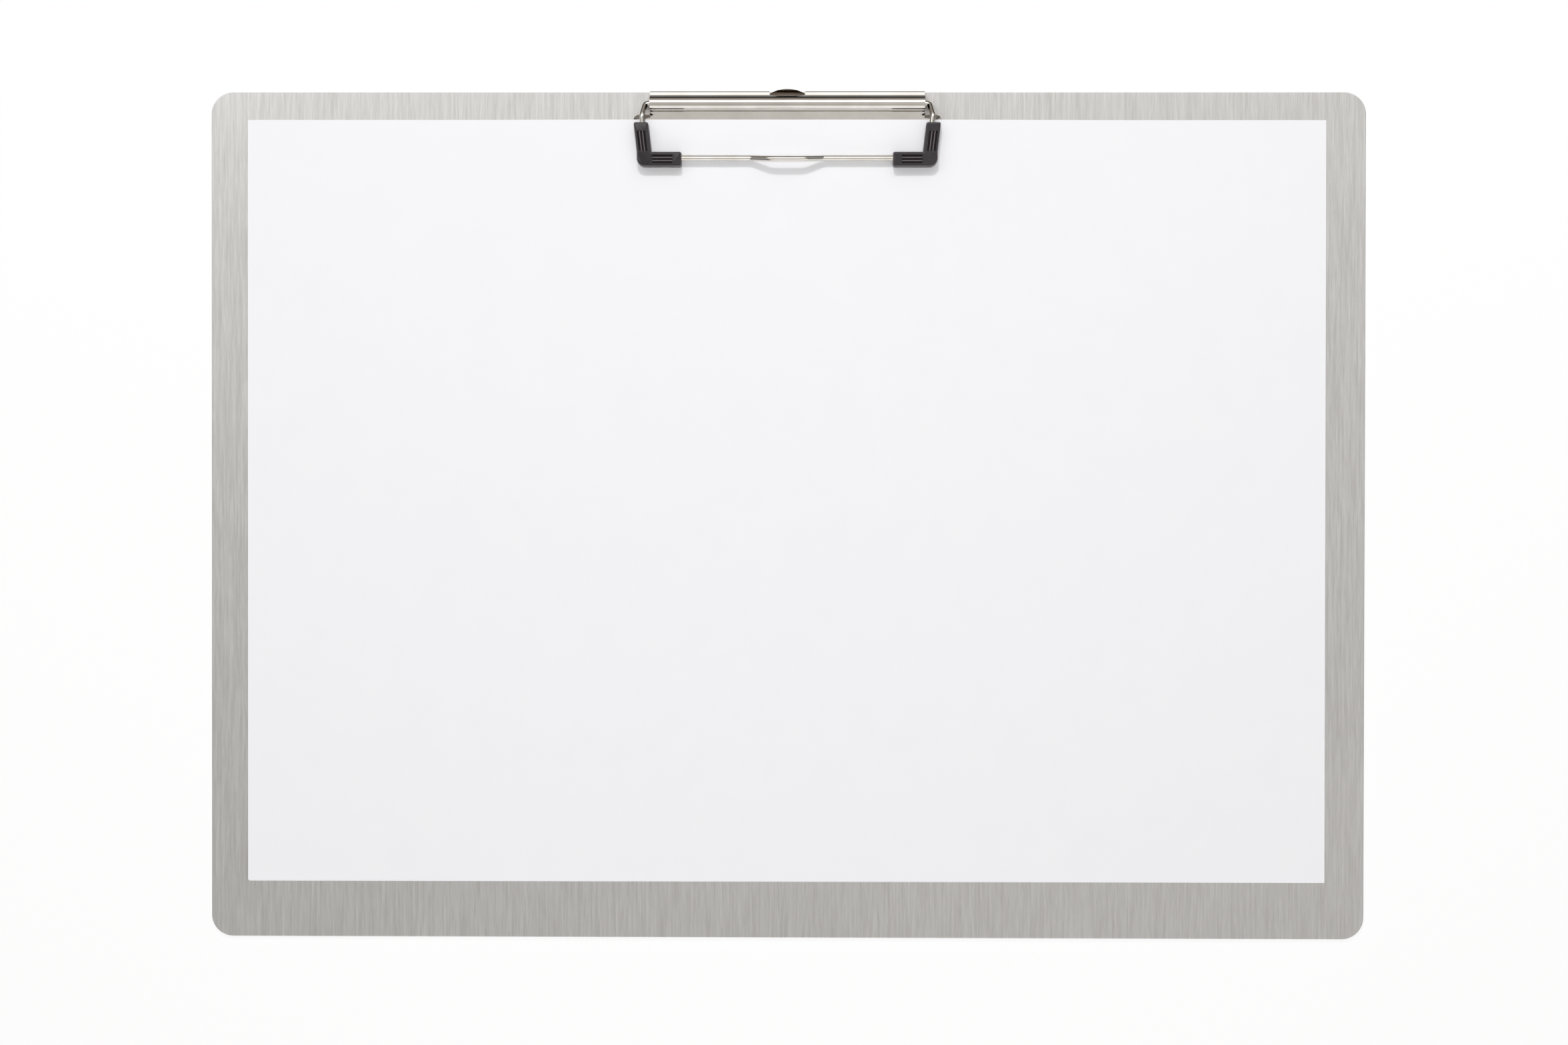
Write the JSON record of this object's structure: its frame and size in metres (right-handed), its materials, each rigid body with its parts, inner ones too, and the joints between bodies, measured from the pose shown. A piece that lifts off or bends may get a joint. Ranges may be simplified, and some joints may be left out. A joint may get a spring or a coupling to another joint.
{
  "type": "clipboard",
  "caption": "Landscape A3 aluminium clipboard with a sprung wire bail clip, black corner sleeves, a pull-out hanging eyelet and paper under the bail.",
  "frame": {"origin": "centre of the board's back face", "axes": "+X along the board's width, +Y up the page towards the clip, +Z out of the writing face"},
  "size_m": [0.45, 0.3311, 0.0125],
  "materials": {
    "board_aluminium": "brushed along Y, clear anodised",
    "pressed_nickel": "bright nickel plate",
    "rivet_nickel": "bright nickel plate",
    "wire_nickel": "drawn wire, bright nickel plate",
    "sleeve_plastic": "moulded, finely stippled",
    "paper": "uncoated copy paper"
  },
  "bodies": {
    "board": {"board_panel": "board_aluminium", "clip_base": "pressed_nickel", "rivet_left": "rivet_nickel", "rivet_right": "rivet_nickel"},
    "bail": {"bail_wire": "wire_nickel", "corner_sleeve_left": "sleeve_plastic", "corner_sleeve_right": "sleeve_plastic"},
    "hanger": {"hanger_tab": "pressed_nickel"},
    "paper": {"paper_sheets": "paper"}
  },
  "joints": [
    {"name": "bail_hinge", "type": "hinge", "parent": "board", "child": "bail", "pos_m": [0, 0.1604, 0.0046], "axis": [-1, 0, 0], "range_deg": [0, 105], "stiffness_Nm_per_rad": 0.06, "springref_deg": -45.84},
    {"name": "hanger_slide", "type": "slide", "parent": "board", "child": "hanger", "axis": [0, 1, 0], "range_m": [0, 0.013]},
    {"name": "paper_slide", "type": "slide", "parent": "board", "child": "paper", "axis": [0, -1, 0], "range_m": [0, 0.03]}
  ]
}
